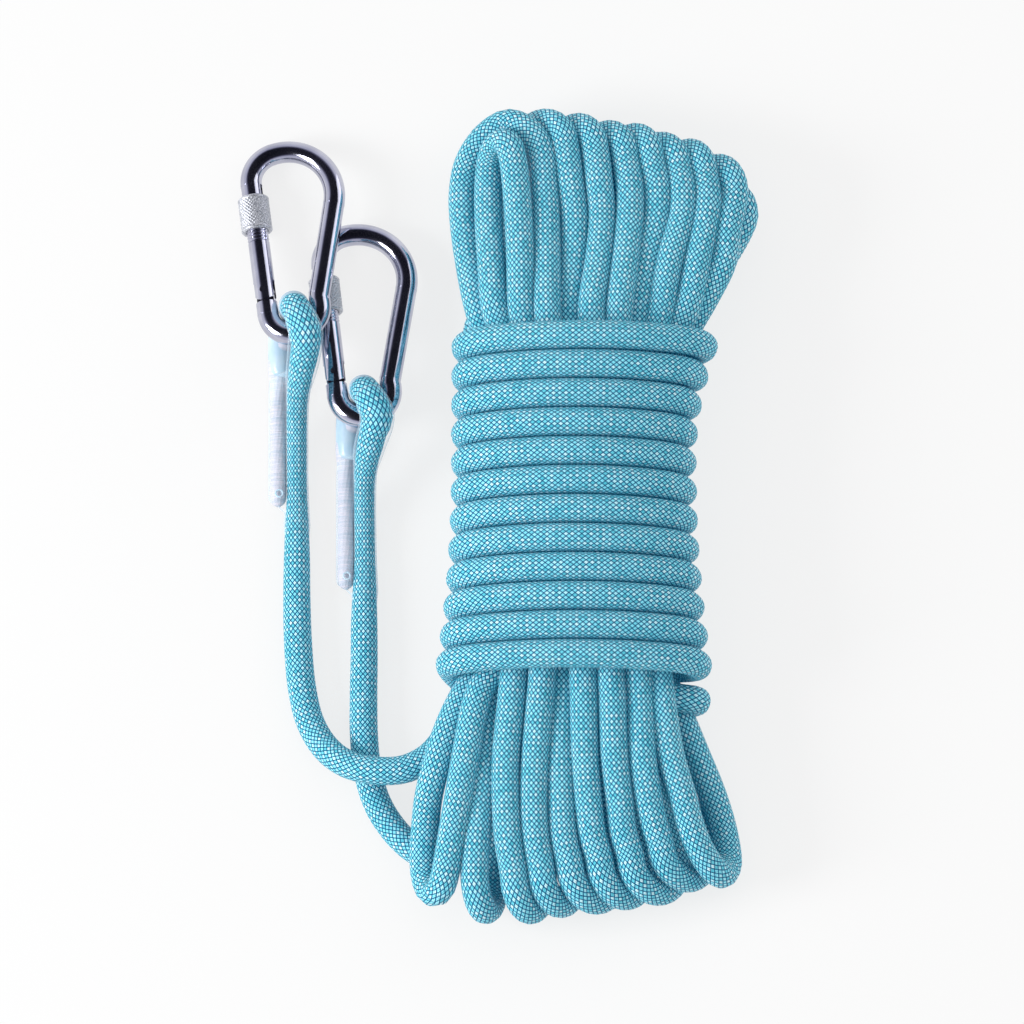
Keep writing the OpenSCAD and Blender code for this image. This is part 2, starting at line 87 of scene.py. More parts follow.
# Shapes
def smoothRoute(rows, step, finePerRow=16):
    # a cubic through the rows, its slope at each row from both neighbours; then even steps along X, Y, Z
    rows = np.asarray(rows, float)
    t = np.r_[0, np.cumsum(np.linalg.norm(np.diff(rows[:, :3], axis=0), axis=1) ** 0.5)]
    slope = np.gradient(rows, t, axis=0)
    fine = np.linspace(0, t[-1], finePerRow * len(rows))
    k = np.clip(np.searchsorted(t, fine, "right") - 1, 0, len(t) - 2)
    w = (t[k + 1] - t[k])[:, None]
    s = (fine - t[k])[:, None] / w
    curve = ((2 * s ** 3 - 3 * s ** 2 + 1) * rows[k] + (s ** 3 - 2 * s ** 2 + s) * w * slope[k]
             + (3 * s ** 2 - 2 * s ** 3) * rows[k + 1] + (s ** 3 - s ** 2) * w * slope[k + 1])
    along = np.r_[0, np.cumsum(np.linalg.norm(np.diff(curve[:, :3], axis=0), axis=1))]
    even = np.linspace(0, along[-1], int(round(along[-1] / step)) + 1)
    return np.column_stack([np.interp(even, along, c) for c in curve.T]), even


def ringFrames(path):
    # side vectors across the path, each turned from the last by the least that keeps it square to the path
    along = np.gradient(path, axis=0)
    along /= np.linalg.norm(along, axis=1)[:, None]
    side = np.empty_like(path)
    first = np.cross(along[0], [0, 0, 1])
    side[0] = first / np.linalg.norm(first)
    for i in range(1, len(path)):
        v = side[i - 1] - along[i] * (side[i - 1] @ along[i])
        side[i] = v / np.sqrt(v @ v)
    return side, np.cross(side, along)


def gridFaces(rings, sides, closed=False):
    # quads between rings of points, closed round each ring and, if asked, from the last ring to the first
    i, k = np.meshgrid(np.arange(rings if closed else rings - 1), np.arange(sides), indexing="ij")
    j, m = (i + 1) % rings, (k + 1) % sides
    return np.stack([i * sides + k, i * sides + m, j * sides + m, j * sides + k], -1).reshape(-1, 4)


def makePiece(name, points, faces, caps=(), uv=None, material=None):
    # points in metres; caps are rings of point numbers that close an end; uv holds a pair for each face corner
    mesh = bpy.data.meshes.new(name)
    mesh.from_pydata(points.tolist(), [], faces.tolist() + [list(map(int, c)) for c in caps])
    if uv is not None:
        layer = mesh.uv_layers.new(name="around")
        flat = np.zeros((len(mesh.loops), 2), np.float32)
        flat[:len(uv)] = uv
        layer.data.foreach_set("uv", flat.ravel())
    mesh.shade_smooth()
    piece = bpy.data.objects.new(name, mesh)
    bpy.context.scene.collection.objects.link(piece)
    if material:
        mesh.materials.append(material)
    return piece


def tubePiece(name, path, radius, along, sides, material):
    # point = path + r (cos a side + sin a up), all rings at once; u goes round, v is mm along
    side, up = ringFrames(path)
    a = np.arange(sides) * 2 * np.pi / sides
    ring = np.cos(a)[None, :, None] * side[:, None] + np.sin(a)[None, :, None] * up[:, None]
    points = (path[:, None] + np.asarray(radius)[:, None, None] * ring).reshape(-1, 3)
    rings = len(path)
    faces = gridFaces(rings, sides)[:, ::-1]
    i, k = np.meshgrid(np.arange(rings - 1), np.arange(sides), indexing="ij")
    order = np.stack([i + 1, i + 1, i, i], -1)
    turns = np.stack([k, k + 1, k + 1, k], -1)
    uv = np.stack([turns / sides, along[order]], -1).reshape(-1, 2)
    caps = (np.arange(sides), (rings - 1) * sides + np.arange(sides)[::-1])
    return makePiece(name, points * mm, faces, caps, uv, material)


# Rope: one length from the eye on hook B to the eye on hook A
rope = {
    "radius": 5.25, "step": 3.0, "sides": 24, "strandsEachWay": 18, "cellLength": 2.15,
    "eyes": {"a": ((-72.82, 69.13, 17.8), 12, 16), "b": ((-46.4, 38.1, 15.4), 8, 19)},  # centre, dip, turn
    "eyeSpread": 9.95,  # from the rod's centre to the rope's
    # round the rod: turn about it from the back leg, shift along it, radius
    "eyeRing": [(-90, 0, 5.1), (-67, 0, 5.1), (-45, 0, 5.1), (-22, 0, 5.2), (0, 0.2, 5.3), (22, 0.5, 5.4),
                (45, 0.8, 5.6), (67, 1.0, 5.9), (90, 1.2, 6.0)],
    "eyeLegs": 3, "eyeFront": (0.2, 5.9),  # length of both legs; shift and radius at the front one's end
}
hank = {
    "middle": (28.0, 28.04), "wraps": 12, "pitch": 10.9, "firstY": 61.35, "halfWidth": 40.15,
    "halfHeight": 22.75, "endRadius": 15.0, "topFlare": 3.8, "bottomFlare": 5.5, "topShift": 4.0,
    "narrowWrap": 4, "rowsPerTurn": 24, "floor": 5.6,
    "foldStep": 30, "lowerLeg": (0.3, 0.6, 0.85, 1.0), "lowerEnd": 59,  # degrees, shares of its length, Y
    # each top fold: upper leg from the waist out, shift and reach of its turn, X and Z where its lower leg ends
    "topFolds": [
        ([(26.5, 61, 34), (26.4, 76, 33.5), (27.9, 93.4, 32), (28.3, 110.6, 31), (26.8, 123.5, 30),
          (25.1, 136.7, 27.5)], -9.2, 12.3, (5, 21)),
        ([(34.5, 61, 39.5), (34.7, 75, 38.5), (37.2, 92.7, 35), (38.5, 110.4, 32), (37.4, 123.3, 31),
          (36.2, 135, 28)], -7.9, 12.3, (12.5, 18.5)),
        ([(44, 61, 39), (44.9, 75, 38.5), (47, 92.5, 36), (48.8, 110, 33), (48.8, 121, 31),
          (47.4, 132.3, 28)], -7.5, 12.3, (20, 16.8)),
        ([(51, 61, 33), (52, 76, 33), (55, 93.4, 32), (58.8, 110.6, 31), (59, 121, 30), (57, 131.2, 28)],
         -7.5, 12.3, (27.5, 16)),
        ([(58, 61, 35), (60.3, 75, 34.5), (63.3, 92.7, 34), (68.1, 110.4, 32), (68.3, 120, 30.5),
          (67, 128, 28)], -8, 12.2, (35, 16)),
        ([(63, 61, 32), (66.5, 68.5, 32), (70, 76, 33), (73.6, 93, 33), (77, 110.4, 32), (77.6, 118, 30.5),
          (76.5, 125.5, 28)], -6.7, 12.1, (42.5, 16.6)),
        ([(65, 61, 24.5), (69.5, 68.5, 25.5), (76.2, 79.5, 28.5), (83.2, 93.8, 30), (85.2, 108, 30),
          (87.5, 119.5, 28)], -7.2, 12.3, (50, 18.1)),
        ([(60, 59, 21.5), (64, 66, 19), (70, 74, 17.5), (75.5, 83, 18.5), (82.8, 96, 19), (89, 107, 19.5),
          (91.2, 113, 19)], -4, 9, (56, 20))],
    # each bottom fold between the first and the last, as above
    "bottomFolds": [
        ([(1.5, -61, 27.5), (-1.5, -73, 27), (-4.2, -90.7, 27), (-5.7, -101.7, 28), (-6.8, -110.6, 28),
          (-7.9, -122, 28), (-8.6, -135.2, 26)], 3.6, -12.5, (7, 18.9)),
        ([(6, -61, 36.5), (5.4, -67.9, 36), (4.6, -76.5, 35), (2.9, -93.5, 32.5), (2.9, -111.3, 31),
          (3.9, -125, 29.5), (5.7, -135.4, 27.5)], 5.4, -12.5, (14, 17.3)),
        ([(16.5, -61, 38.5), (16, -68, 37.5), (15.1, -76.5, 36), (13.7, -93.8, 33), (13.1, -111.3, 31),
          (13.9, -124, 29.5), (15.6, -133.3, 28)], 6.4, -12.3, (21, 16.3)),
        ([(24, -61, 33), (23.6, -70, 32.5), (22.9, -93.3, 31), (23.3, -111.1, 30), (24.3, -124, 29),
          (26.1, -132, 28)], 8.7, -12.3, (28, 16)),
        ([(31.5, -61, 38.5), (31.6, -72, 37), (32, -93.8, 33), (33.3, -111.3, 31), (34.9, -123, 29.5),
          (37.1, -130.5, 28)], 8.4, -12.2, (35, 16.3)),
        ([(41.5, -61, 38.5), (42, -72, 37.5), (42.9, -94, 34), (44.9, -111.3, 31), (46.2, -122, 29.5),
          (48.4, -129, 28)], 9, -12, (42, 17.3)),
        ([(51.5, -61, 36), (52.1, -72, 35), (53.2, -93.8, 33), (55.4, -109, 31), (57.6, -119, 29.5),
          (59.6, -125, 28)], 8.6, -11, (49.5, 19))],
}
looseRows = {
    # tail B from its eye, its radius in the last column, and its rise under the first bottom fold to the waist
    "tailB": [(-46, 31, 22.9, 5.2), (-47.1, 26.6, 20.2, 4.9), (-48.2, 22.6, 16.8, 4.5),
              (-49.2, 17, 12.8, 4.05), (-49.4, 8, 8.2, 3.8), (-49.3, -3, 5.6, 3.8), (-49.2, -14, 5.1, 3.9),
              (-49.2, -22, 5.2, 4.3), (-49.3, -29, 5.3, 4.6), (-49.4, -37, 5.4, 4.9),
              (-49.4, -51, 5.5, 5.05), (-49.6, -66, 5.5, 5.15), (-49.4, -81, 5.6, 5.25),
              (-48, -94, 5.6, 5.25), (-44.4, -106, 5.6, 5.25), (-39, -115, 6, 5.25), (-32.6, -122, 7, 5.25),
              (-26, -126, 7.6, 5.25)],
    "riseB": [(-19.5, -125.5, 6.6), (-14.8, -118.5, 5.8), (-12, -108, 6), (-9.8, -97, 8), (-7.5, -84, 12),
              (-3.5, -73, 16), (-0.5, -62, 20.5), (1.5, -30, 23), (2, 10, 27), (2.5, 40, 31)],
    "innerTopFold": [(3, 61, 33.5), (1, 68, 33.5), (-1.2, 76, 34), (-2.5, 93, 32), (-3.5, 110.6, 28.5),
                     (-3.5, 123.9, 25), (-2.9, 132, 23.2), (-1.5, 136.9, 24.4), (1.2, 139.2, 27.3),
                     (3.9, 137.6, 30.3), (5.4, 132.5, 32), (6.6, 123.1, 33.3), (7.6, 110, 35),
                     (8.3, 92.5, 36.5), (8.6, 75, 36.5), (10, 61, 36)],
    "firstBottomFold": [(-2, -61, 33.5), (-6, -67.7, 33.5), (-8.7, -76.3, 33.5), (-11.9, -93.5, 32.5),
                        (-14.9, -111, 31), (-17.9, -128.3, 27.5), (-19.4, -136.3, 25),
                        (-20.8, -140.6, 22.8), (-22.9, -142.2, 19.8), (-25.2, -140.4, 17.2),
                        (-26.6, -136.4, 16), (-27.2, -132, 15.9), (-27.3, -125.4, 17.5), (-26.6, -116, 20),
                        (-25.8, -108.7, 23), (-24.2, -101.3, 26.5), (-22.2, -94.6, 28.5),
                        (-19.6, -85.8, 29.5), (-15.2, -75, 28.5), (-10.5, -66, 27.5), (-7, -60, 27)],
    "firstTopFold": [(-1.5, 61, 28), (-5, 69, 27.5), (-7.6, 78, 27), (-10.7, 94.9, 24), (-12.8, 112.1, 21),
                     (-13, 122.5, 19), (-10.9, 133.7, 17.3), (-4.5, 143.7, 17.7), (3.8, 148.3, 20),
                     (11.7, 143.7, 24.5), (15.9, 135.8, 27.5), (17.1, 123.5, 30), (17.8, 110.4, 32),
                     (18, 92.7, 35), (18.1, 75, 38), (18.5, 61, 38.5)],
    "lastBottomFold": [(59, -61, 32), (59.8, -68, 32.5), (60.7, -76, 32.5), (63.6, -93.3, 31),
                       (67.5, -106.6, 30), (71.1, -119.8, 28.5), (74.8, -128, 25.5), (79.2, -133.3, 20.3),
                       (82.8, -134, 13.8), (84.7, -129, 9), (83.9, -121, 8), (81.5, -111, 9.4),
                       (78, -101, 11.5), (73.4, -90, 13.3), (68.9, -79, 14.2), (65.2, -70, 14.2),
                       (61.5, -63, 16.5), (57, -56, 21)],
    # out at the right under the last upper leg, round the side and below the bundle to the first turn
    "firstTurn": [(61.5, 30, 22), (62, -10, 22.5), (61, -40, 23.5), (59, -54, 24), (58.6, -62, 23.6),
                  (61.6, -67.8, 23.3), (67, -69.6, 22.6), (71.8, -69.6, 19.6), (73.4, -69.3, 14.6),
                  (70.8, -68.9, 9.2), (64.5, -68.4, 5.9), (50, -67.6, 5.3), (30, -66.6, 5.3),
                  (10, -65.4, 5.4), (0, -64.6, 7), (-8.6, -63.6, 12)],
    # past the last turn the rope tucks in at the left and goes down through the waist to tail A
    "tuckA": [(64, 61.6, 9.2), (54, 62.4, 6.6), (40, 64, 5.4), (24, 67, 5.3), (10, 71, 5.4), (1, 73.8, 6.6),
              (-5.2, 74.4, 10.6), (-7.6, 71, 16), (-6, 63, 20.5), (-2, 50, 22), (-2, 20, 20), (-2, -20, 20),
              (-2, -50, 21), (-3.5, -60, 20.5), (-9, -67, 18), (-14.5, -76, 17.3), (-19.5, -84, 17.6),
              (-25, -90.6, 18.1), (-31.5, -94.5, 18.3)],
    "tailA": [(-71, 63, 25.6, 5.5), (-72, 57.6, 22.4, 5.1), (-73.2, 52, 18.6, 4.5), (-74.1, 46, 14.6, 4),
              (-74.4, 37, 9.8, 3.75), (-74.4, 28, 6.8, 3.7), (-74.4, 18, 5.3, 3.7), (-74.3, 8, 5, 3.9),
              (-74.3, 1, 5, 4.3), (-74.3, -6, 5.2, 4.6), (-74.3, -14, 5.4, 4.85), (-74.3, -29, 5.5, 5.05),
              (-73.8, -46, 5.6, 5.2), (-72.4, -62, 5.6, 5.25), (-69.4, -75, 6, 5.25), (-64, -85, 8.6, 5.25),
              (-56.6, -92, 13.2, 5.25), (-47, -95.6, 17, 5.25), (-37, -96, 18.2, 5.25)],
}


def turned(v, angle, a, b):  # v turned in the plane of axes a and b
    v = np.array(v, float)
    c, s = np.cos(np.radians(angle)), np.sin(np.radians(angle))
    v[..., a], v[..., b] = v[..., a] * c - v[..., b] * s, v[..., a] * s + v[..., b] * c
    return v


def eyeRows(which):  # half a turn round the hook's rod, from the back leg under it to the front leg over it
    centre, dip, turn = rope["eyes"][which]
    r, below, (frontShift, frontRadius) = rope["eyeSpread"], -rope["eyeLegs"], rope["eyeFront"]
    around, shift, wide = np.array(rope["eyeRing"]).T
    a = np.radians(around)
    rows = np.column_stack([shift, r * np.cos(a), r * np.sin(a)])
    rows = np.vstack([[0, below, -r], rows, [frontShift, below, r]])
    rows = turned(turned(rows, dip, 1, 2), turn, 0, 1) + centre
    return np.column_stack([rows, np.r_[wide[0], wide, frontRadius]])


def plainRows(rows):  # adds the rope's radius to each row
    rows = np.array(rows, float)
    return np.column_stack([rows, np.full(len(rows), rope["radius"])])


def foldRows(fold, end):  # upper leg out, half a turn that shifts and drops, lower leg back to the waist
    leg, shift, reach, (underX, underZ) = fold
    leg = np.array(leg, float)
    tip = leg[-1]
    across = np.array([shift, 0, (hank["floor"] - tip[2]) / 2])
    a = np.radians(np.arange(hank["foldStep"], 181, hank["foldStep"]))[:, None]
    turn = tip + np.sin(a) * [0, reach, 0] + (1 - np.cos(a)) * across
    low = turn[-1]
    share = np.array(hank["lowerLeg"])[:, None]
    back = low + share * (np.array([underX, end, underZ]) - low)
    back[:, 2] = low[2] + (underZ - low[2]) * share[:, 0] ** 2
    return plainRows(np.vstack([leg, turn, back]))


def wrapRows():  # turns over the top from left to right, and back under the bundle one pitch further up
    rows, narrow, perTurn = [], hank["narrowWrap"], hank["rowsPerTurn"]
    for i in range(hank["wraps"] - 1, -1, -1):
        place = np.arange(perTurn if i else perTurn // 2 + 1) / perTurn
        at = i - np.clip(place * 2 - 1, 0, 1)
        above = at < narrow
        share = np.where(above, (narrow - at) / narrow, (at - narrow) / (hank["wraps"] - 1 - narrow))
        flare = np.where(above, hank["topFlare"], hank["bottomFlare"]) * share ** 2
        midX = hank["middle"][0] + np.where(above, hank["topShift"] * share ** 2, 0)
        rows.append(ovalRows(place, hank["halfWidth"] + flare, midX, hank["firstY"] - at * hank["pitch"]))
    return plainRows(np.vstack(rows))


def ovalRows(place, halfWidth, midX, y):
    # an oval of four arcs by the angle n of its outward normal: point = arc centre + arc radius (cos n, sin n)
    h, r = hank["halfHeight"], hank["endRadius"]
    big = ((halfWidth - r) ** 2 + h * h - r * r) / (2 * (h - r))
    half = np.arctan2(halfWidth - r, big - h)
    total = 2 * (2 * half * big + (np.pi - 2 * half) * r)
    s = place * total  # from the left side over the top
    endArc, flank = (np.pi / 2 - half) * r, 2 * half * big
    steps = np.cumsum([endArc, flank, 2 * endArc, flank, endArc], axis=0)
    n = np.select(
        [s < steps[0], s < steps[1], s < steps[2], s < steps[3]],
        [np.pi - s / r, np.pi / 2 + half - (s - steps[0]) / big, np.pi / 2 - half - (s - steps[1]) / r,
         half - np.pi / 2 - (s - steps[2]) / big], -np.pi / 2 - half - (s - steps[3]) / r)
    left, right = n > np.pi / 2 + half, np.abs(n) < np.pi / 2 - half
    ends = left | right | (n < -np.pi / 2 - half)
    centreX = np.where(right, halfWidth - r, np.where(ends, r - halfWidth, 0))
    centreZ = np.where(ends, 0, np.where(n > 0, h - big, big - h))
    radius = np.where(ends, r, big)
    x, z = midX + centreX + radius * np.cos(n), hank["middle"][1] + centreZ + radius * np.sin(n)
    return np.column_stack([x, y, z])


def ropeRows():
    # the stretches in the rope's own order: eye and tail B, bottom and top folds by turns, the turns round the
    # waist from the last to the first, tail and eye A
    end = hank["lowerEnd"]
    top = [foldRows(fold, end)[::-1] for fold in hank["topFolds"]]
    bottom = [foldRows(fold, -end) for fold in hank["bottomFolds"]] + [plainRows(looseRows["lastBottomFold"])]
    parts = [eyeRows("b"), np.array(looseRows["tailB"]), plainRows(looseRows["riseB"]),
             plainRows(looseRows["innerTopFold"]), plainRows(looseRows["firstBottomFold"]),
             plainRows(looseRows["firstTopFold"])]
    for low, high in zip(bottom, top):
        parts += [low, high]
    parts += [plainRows(looseRows["firstTurn"]), wrapRows(), plainRows(looseRows["tuckA"]),
              np.array(looseRows["tailA"])[::-1], eyeRows("a")[::-1]]
    return np.vstack(parts)


sheathLook = {
    # across a strand of two yarns: deep gaps to the next strand, a shallow one in its middle
    "profile": [(0.0, "#000000"), (0.24, "#FFFFFF"), (0.4, "#F6F6F6"), (0.5, "#CCCCCC"), (0.6, "#F6F6F6"),
                (0.76, "#FFFFFF"), (1.0, "#000000")],
    "yarn": [(0.0, "#5AC8D8"), (0.5, "#98EAF6"), (1.0, "#E6FDFF")],
    # painted shade: these stops darken the yarn's colour where the weave lies low between strands; white at the
    # crowns leaves it as it is
    "paintedGapShade": [(0.0, "#023656"), (0.42, "#16739C"), (0.72, "#C2E8F2"), (0.92, "#FFFFFF")],
    "cellTone": 0.55, "strandTone": 0.45,  # how far a yarn's tone follows chance and its strand's way round
    # the glow is painted light: a weak blue emission that keeps shaded crevices blue instead of dark
    "dive": 0.45, "bump": (0.8, 0.5 * mm), "roughness": 0.5, "specular": 0.25, "paintedGlow": ("#06648C", 0.14),
}


def braidedSheath():
    # polyester sheath: pale and mid blue yarns cross in a diamond grid; painted shade darkens the gaps between
    # strands, and a weak blue glow is painted light, standing in for light scattered in the fibres, that keeps
    # shaded crevices blue
    material, tree, output = newMaterial("braidedPolyester")
    place = addNode(tree, "ShaderNodeUVMap", {"uv_map": "around"})
    parts = addNode(tree, "ShaderNodeSeparateXYZ", inputs={0: place.outputs["UV"]})
    around = addNode(tree, "ShaderNodeMath", {"operation": "MULTIPLY"},
                     {0: parts.outputs["X"], 1: rope["strandsEachWay"]})
    length = addNode(tree, "ShaderNodeMath", {"operation": "DIVIDE"},
                     {0: parts.outputs["Y"], 1: rope["cellLength"]})
    crowns, dives, strands = [], [], []
    for operation in ("ADD", "SUBTRACT"):
        line = addNode(tree, "ShaderNodeMath", {"operation": operation},
                       {0: around.outputs[0], 1: length.outputs[0]})
        strands.append(addNode(tree, "ShaderNodeMath", {"operation": "FLOOR"}, {0: line.outputs[0]}))
        share = addNode(tree, "ShaderNodeMath", {"operation": "FRACT"}, {0: line.outputs[0]})
        crowns.append(addNode(tree, "ShaderNodeValToRGB", inputs={"Fac": share.outputs[0]},
                              stops=sheathLook["profile"]))
        # 4 s (1 - s) is 1 in the middle of a strand and 0 at its sides, where the other one dives under it
        rest = addNode(tree, "ShaderNodeMath", {"operation": "SUBTRACT"}, {0: 1.0, 1: share.outputs[0]})
        hump = addNode(tree, "ShaderNodeMath", {"operation": "MULTIPLY"},
                       {0: share.outputs[0], 1: rest.outputs[0]})
        dives.append(addNode(tree, "ShaderNodeMath", {"operation": "MULTIPLY"}, {0: hump.outputs[0], 1: 4.0}))
    # the strand on top at each crossing, the one way and the other in turn
    both = addNode(tree, "ShaderNodeMath", {"operation": "ADD"},
                   {0: strands[0].outputs[0], 1: strands[1].outputs[0]})
    over = addNode(tree, "ShaderNodeMath", {"operation": "FLOORED_MODULO"}, {0: both.outputs[0], 1: 2.0})
    across = addNode(tree, "ShaderNodeMix", {"data_type": "FLOAT"}, {
        "Factor": over.outputs[0], "A": crowns[0].outputs["Color"], "B": crowns[1].outputs["Color"]})
    onward = addNode(tree, "ShaderNodeMix", {"data_type": "FLOAT"}, {
        "Factor": over.outputs[0], "A": dives[1].outputs[0], "B": dives[0].outputs[0]})
    dive = addNode(tree, "ShaderNodeMath", {"operation": "POWER"},
                   {0: onward.outputs[0], 1: sheathLook["dive"]})
    height = addNode(tree, "ShaderNodeMath", {"operation": "MULTIPLY"},
                     {0: across.outputs[0], 1: dive.outputs[0]})
    cell = addNode(tree, "ShaderNodeCombineXYZ",
                   inputs={"X": strands[0].outputs[0], "Y": strands[1].outputs[0]})
    chance = addNode(tree, "ShaderNodeTexWhiteNoise", {"noise_dimensions": "3D"}, {"Vector": cell.outputs[0]})
    mixed = addNode(tree, "ShaderNodeMath", {"operation": "MULTIPLY"},
                    {0: chance.outputs["Value"], 1: sheathLook["cellTone"]})
    tone = addNode(tree, "ShaderNodeMath", {"operation": "MULTIPLY_ADD"},
                   {0: over.outputs[0], 1: sheathLook["strandTone"], 2: mixed.outputs[0]})
    yarn = addNode(tree, "ShaderNodeValToRGB", inputs={"Fac": tone.outputs[0]}, stops=sheathLook["yarn"])
    # painted shade: the yarn colour is multiplied darker blue where the weave's height is low, in the gaps
    # between strands
    paintedGapShade = addNode(tree, "ShaderNodeValToRGB", inputs={"Fac": height.outputs[0]}, stops=sheathLook["paintedGapShade"])
    colour = addNode(tree, "ShaderNodeMix", {"data_type": "RGBA", "blend_type": "MULTIPLY"},
                     {"Factor": 1.0, "A": yarn.outputs["Color"], "B": paintedGapShade.outputs["Color"]})
    strength, distance = sheathLook["bump"]
    bump = addNode(tree, "ShaderNodeBump", inputs={
        "Height": height.outputs[0], "Strength": strength, "Distance": distance})
    # painted light: the sheath glows weakly blue, standing in for light scattered between the fibres into the
    # shaded crevices
    paintedGlowColour, paintedGlow = sheathLook["paintedGlow"]
    shader = addNode(tree, "ShaderNodeBsdfPrincipled", inputs={
        "Base Color": colour.outputs["Result"], "Roughness": sheathLook["roughness"], "Normal": bump.outputs[0],
        "Specular IOR Level": sheathLook["specular"], "Emission Color": linear(paintedGlowColour),
        "Emission Strength": paintedGlow})
    tree.links.new(shader.outputs[0], output.inputs["Surface"])
    return material


rows, ropeAlong = smoothRoute(ropeRows(), rope["step"])
ropePath, ropeRadius = rows[:, :3], rows[:, 3]
ropePiece = tubePiece("rope", ropePath, ropeRadius, ropeAlong, rope["sides"], braidedSheath())
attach(ropePiece, "rope")
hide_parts("wraps", "hank_waist", "hank_top_loops", "hank_bottom_loops", "tail_a", "tail_b",
            "eye_a", "eye_b")

# Steel hooks: basket's centre, turn in the hook's own plane, slope along it and tilt across it
hook = {
    "basket": 10.0, "gateLean": 8.0, "gateEnd": 46.54,
    "poses": {"a": ((-75.4, 78.6, 15.89), 1.1, 7.7, 13), "b": ((-49.4, 47.5, 13.76), -0.6, 8, 6)},
}


def gateFrame(which):  # the gate's line: its foot, its direction, the way in and the way up
    centre, spin, slope, tilt = hook["poses"][which]
    lean = np.radians(hook["gateLean"])
    c, s = np.cos(lean), np.sin(lean)
    flat = np.array([(-c * hook["basket"], -s * hook["basket"], 0), (-s, c, 0), (c, s, 0), (0, 0, 1)])
    placed = turned(turned(turned(flat, spin, 0, 1), -slope, 1, 2), tilt, 0, 2)
    return placed[0] + centre, placed[1], placed[2], placed[3]


def polishedSteel(name, tint, roughness, grain, metallic, patches):
    # drawn steel: a fine grain 0.7 mm wide in the polish, and small changes of gloss and tone in patches
    material, tree, output = newMaterial(name)
    place = addNode(tree, "ShaderNodeTexCoord")
    wide = addNode(tree, "ShaderNodeTexNoise", inputs={
        "Vector": place.outputs["Object"], "Scale": patches, "Detail": 3.0})
    fine = addNode(tree, "ShaderNodeTexNoise", inputs={
        "Vector": place.outputs["Object"], "Scale": 1400.0, "Detail": 2.0})
    gloss = addNode(tree, "ShaderNodeMapRange", inputs={
        "Value": wide.outputs["Fac"], "To Min": roughness * 0.7, "To Max": roughness * 1.5})
    shade = addNode(tree, "ShaderNodeValToRGB", inputs={"Fac": wide.outputs["Fac"]}, stops=tint)
    bump = addNode(tree, "ShaderNodeBump", inputs={
        "Height": fine.outputs["Fac"], "Strength": grain, "Distance": 0.00004})
    shader = addNode(tree, "ShaderNodeBsdfPrincipled", inputs={
        "Base Color": shade.outputs["Color"], "Metallic": metallic, "Roughness": gloss.outputs["Result"],
        "Normal": bump.outputs[0]})
    tree.links.new(shader.outputs[0], output.inputs["Surface"])
    return material


# tint, roughness, depth of the grain, metallic, and patches of about 11 mm or, where knurled, 0.45 mm
chrome = polishedSteel("polishedSteel", [(0.3, "#AEAFC0"), (0.7, "#CBCCDA")], 0.1, 0.1, 1.0, 90.0)
satin = polishedSteel("satinSteel", [(0.3, "#C9CBD0"), (0.7, "#DDDFE3")], 0.38, 0.5, 1.0, 90.0)
knurled = polishedSteel("knurledSteel", [(0.36, "#9296A0"), (0.62, "#DCDEE4")], 0.4, 0.6, 0.7, 2200.0)
steelNodes = {"hook_body_": chrome, "gate_": chrome, "hinge_rivet_": chrome, "catch_pin_": satin,
              "gate_spring_": satin, "plunger_": satin}
for which in "ab":
    for node, steel in steelNodes.items():
        for slot in bpy.data.objects[node + which].material_slots:
            slot.material = steel
print("hooks dressed")

# Knurled screw sleeves, turned about the gate's line
screwSleeve = {
    "radius": 5.8, "length": 13.5, "bore": 4.05, "mouth": 4.35, "mouthDepth": 4.6, "mouthStep": 0.3,
    "band": 1.1, "bandFade": 0.25, "bevel": 0.5, "knurlDepth": 0.32, "knurlsAround": 26, "knurlPitch": 1.4,
    "sides": 156, "rings": 90,
}


def sleevePiece(which):
    # crossed ridges: r = R - d (1 - |sin(p + q)| |sin(p - q)|) between two plain bands, p round and q along
    foot, along, inward, up = gateFrame(which)
    length, sides = screwSleeve["length"], screwSleeve["sides"]
    y = np.linspace(0, length, screwSleeve["rings"])
    a = np.arange(sides) * 2 * np.pi / sides
    p = a[None] * screwSleeve["knurlsAround"] / 2
    q = y[:, None] * np.pi / screwSleeve["knurlPitch"]
    edge = np.minimum(y, length - y)[:, None]
    within = np.clip((edge - screwSleeve["band"]) / screwSleeve["bandFade"], 0, 1)
    bevel = np.clip(screwSleeve["bevel"] - edge, 0, None)
    cuts = 1 - np.abs(np.sin(p + q)) * np.abs(np.sin(p - q))
    outer = screwSleeve["radius"] - bevel - within * screwSleeve["knurlDepth"] * cuts
    mouthEnd = length - screwSleeve["mouthDepth"]
    bore = np.array([screwSleeve[key] for key in ("mouth", "mouth", "bore", "bore")])
    radius = np.vstack([outer, np.repeat(bore[:, None], sides, 1)])
    station = np.r_[y, length, mouthEnd, mouthEnd - screwSleeve["mouthStep"], 0] + hook["gateEnd"] - length
    points = (foot + station[:, None, None] * along + radius[..., None] * (
        np.cos(a)[None, :, None] * inward + np.sin(a)[None, :, None] * up)).reshape(-1, 3)
    faces = gridFaces(len(station), sides, closed=True)[:, ::-1]
    piece = makePiece("knurledSleeve_" + which, points * mm, faces, material=knurled)
    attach(piece, "sleeve_" + which)
    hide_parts("screw_sleeve_" + which)


for which in "ab":
    sleevePiece(which)
print("sleeves knurled")

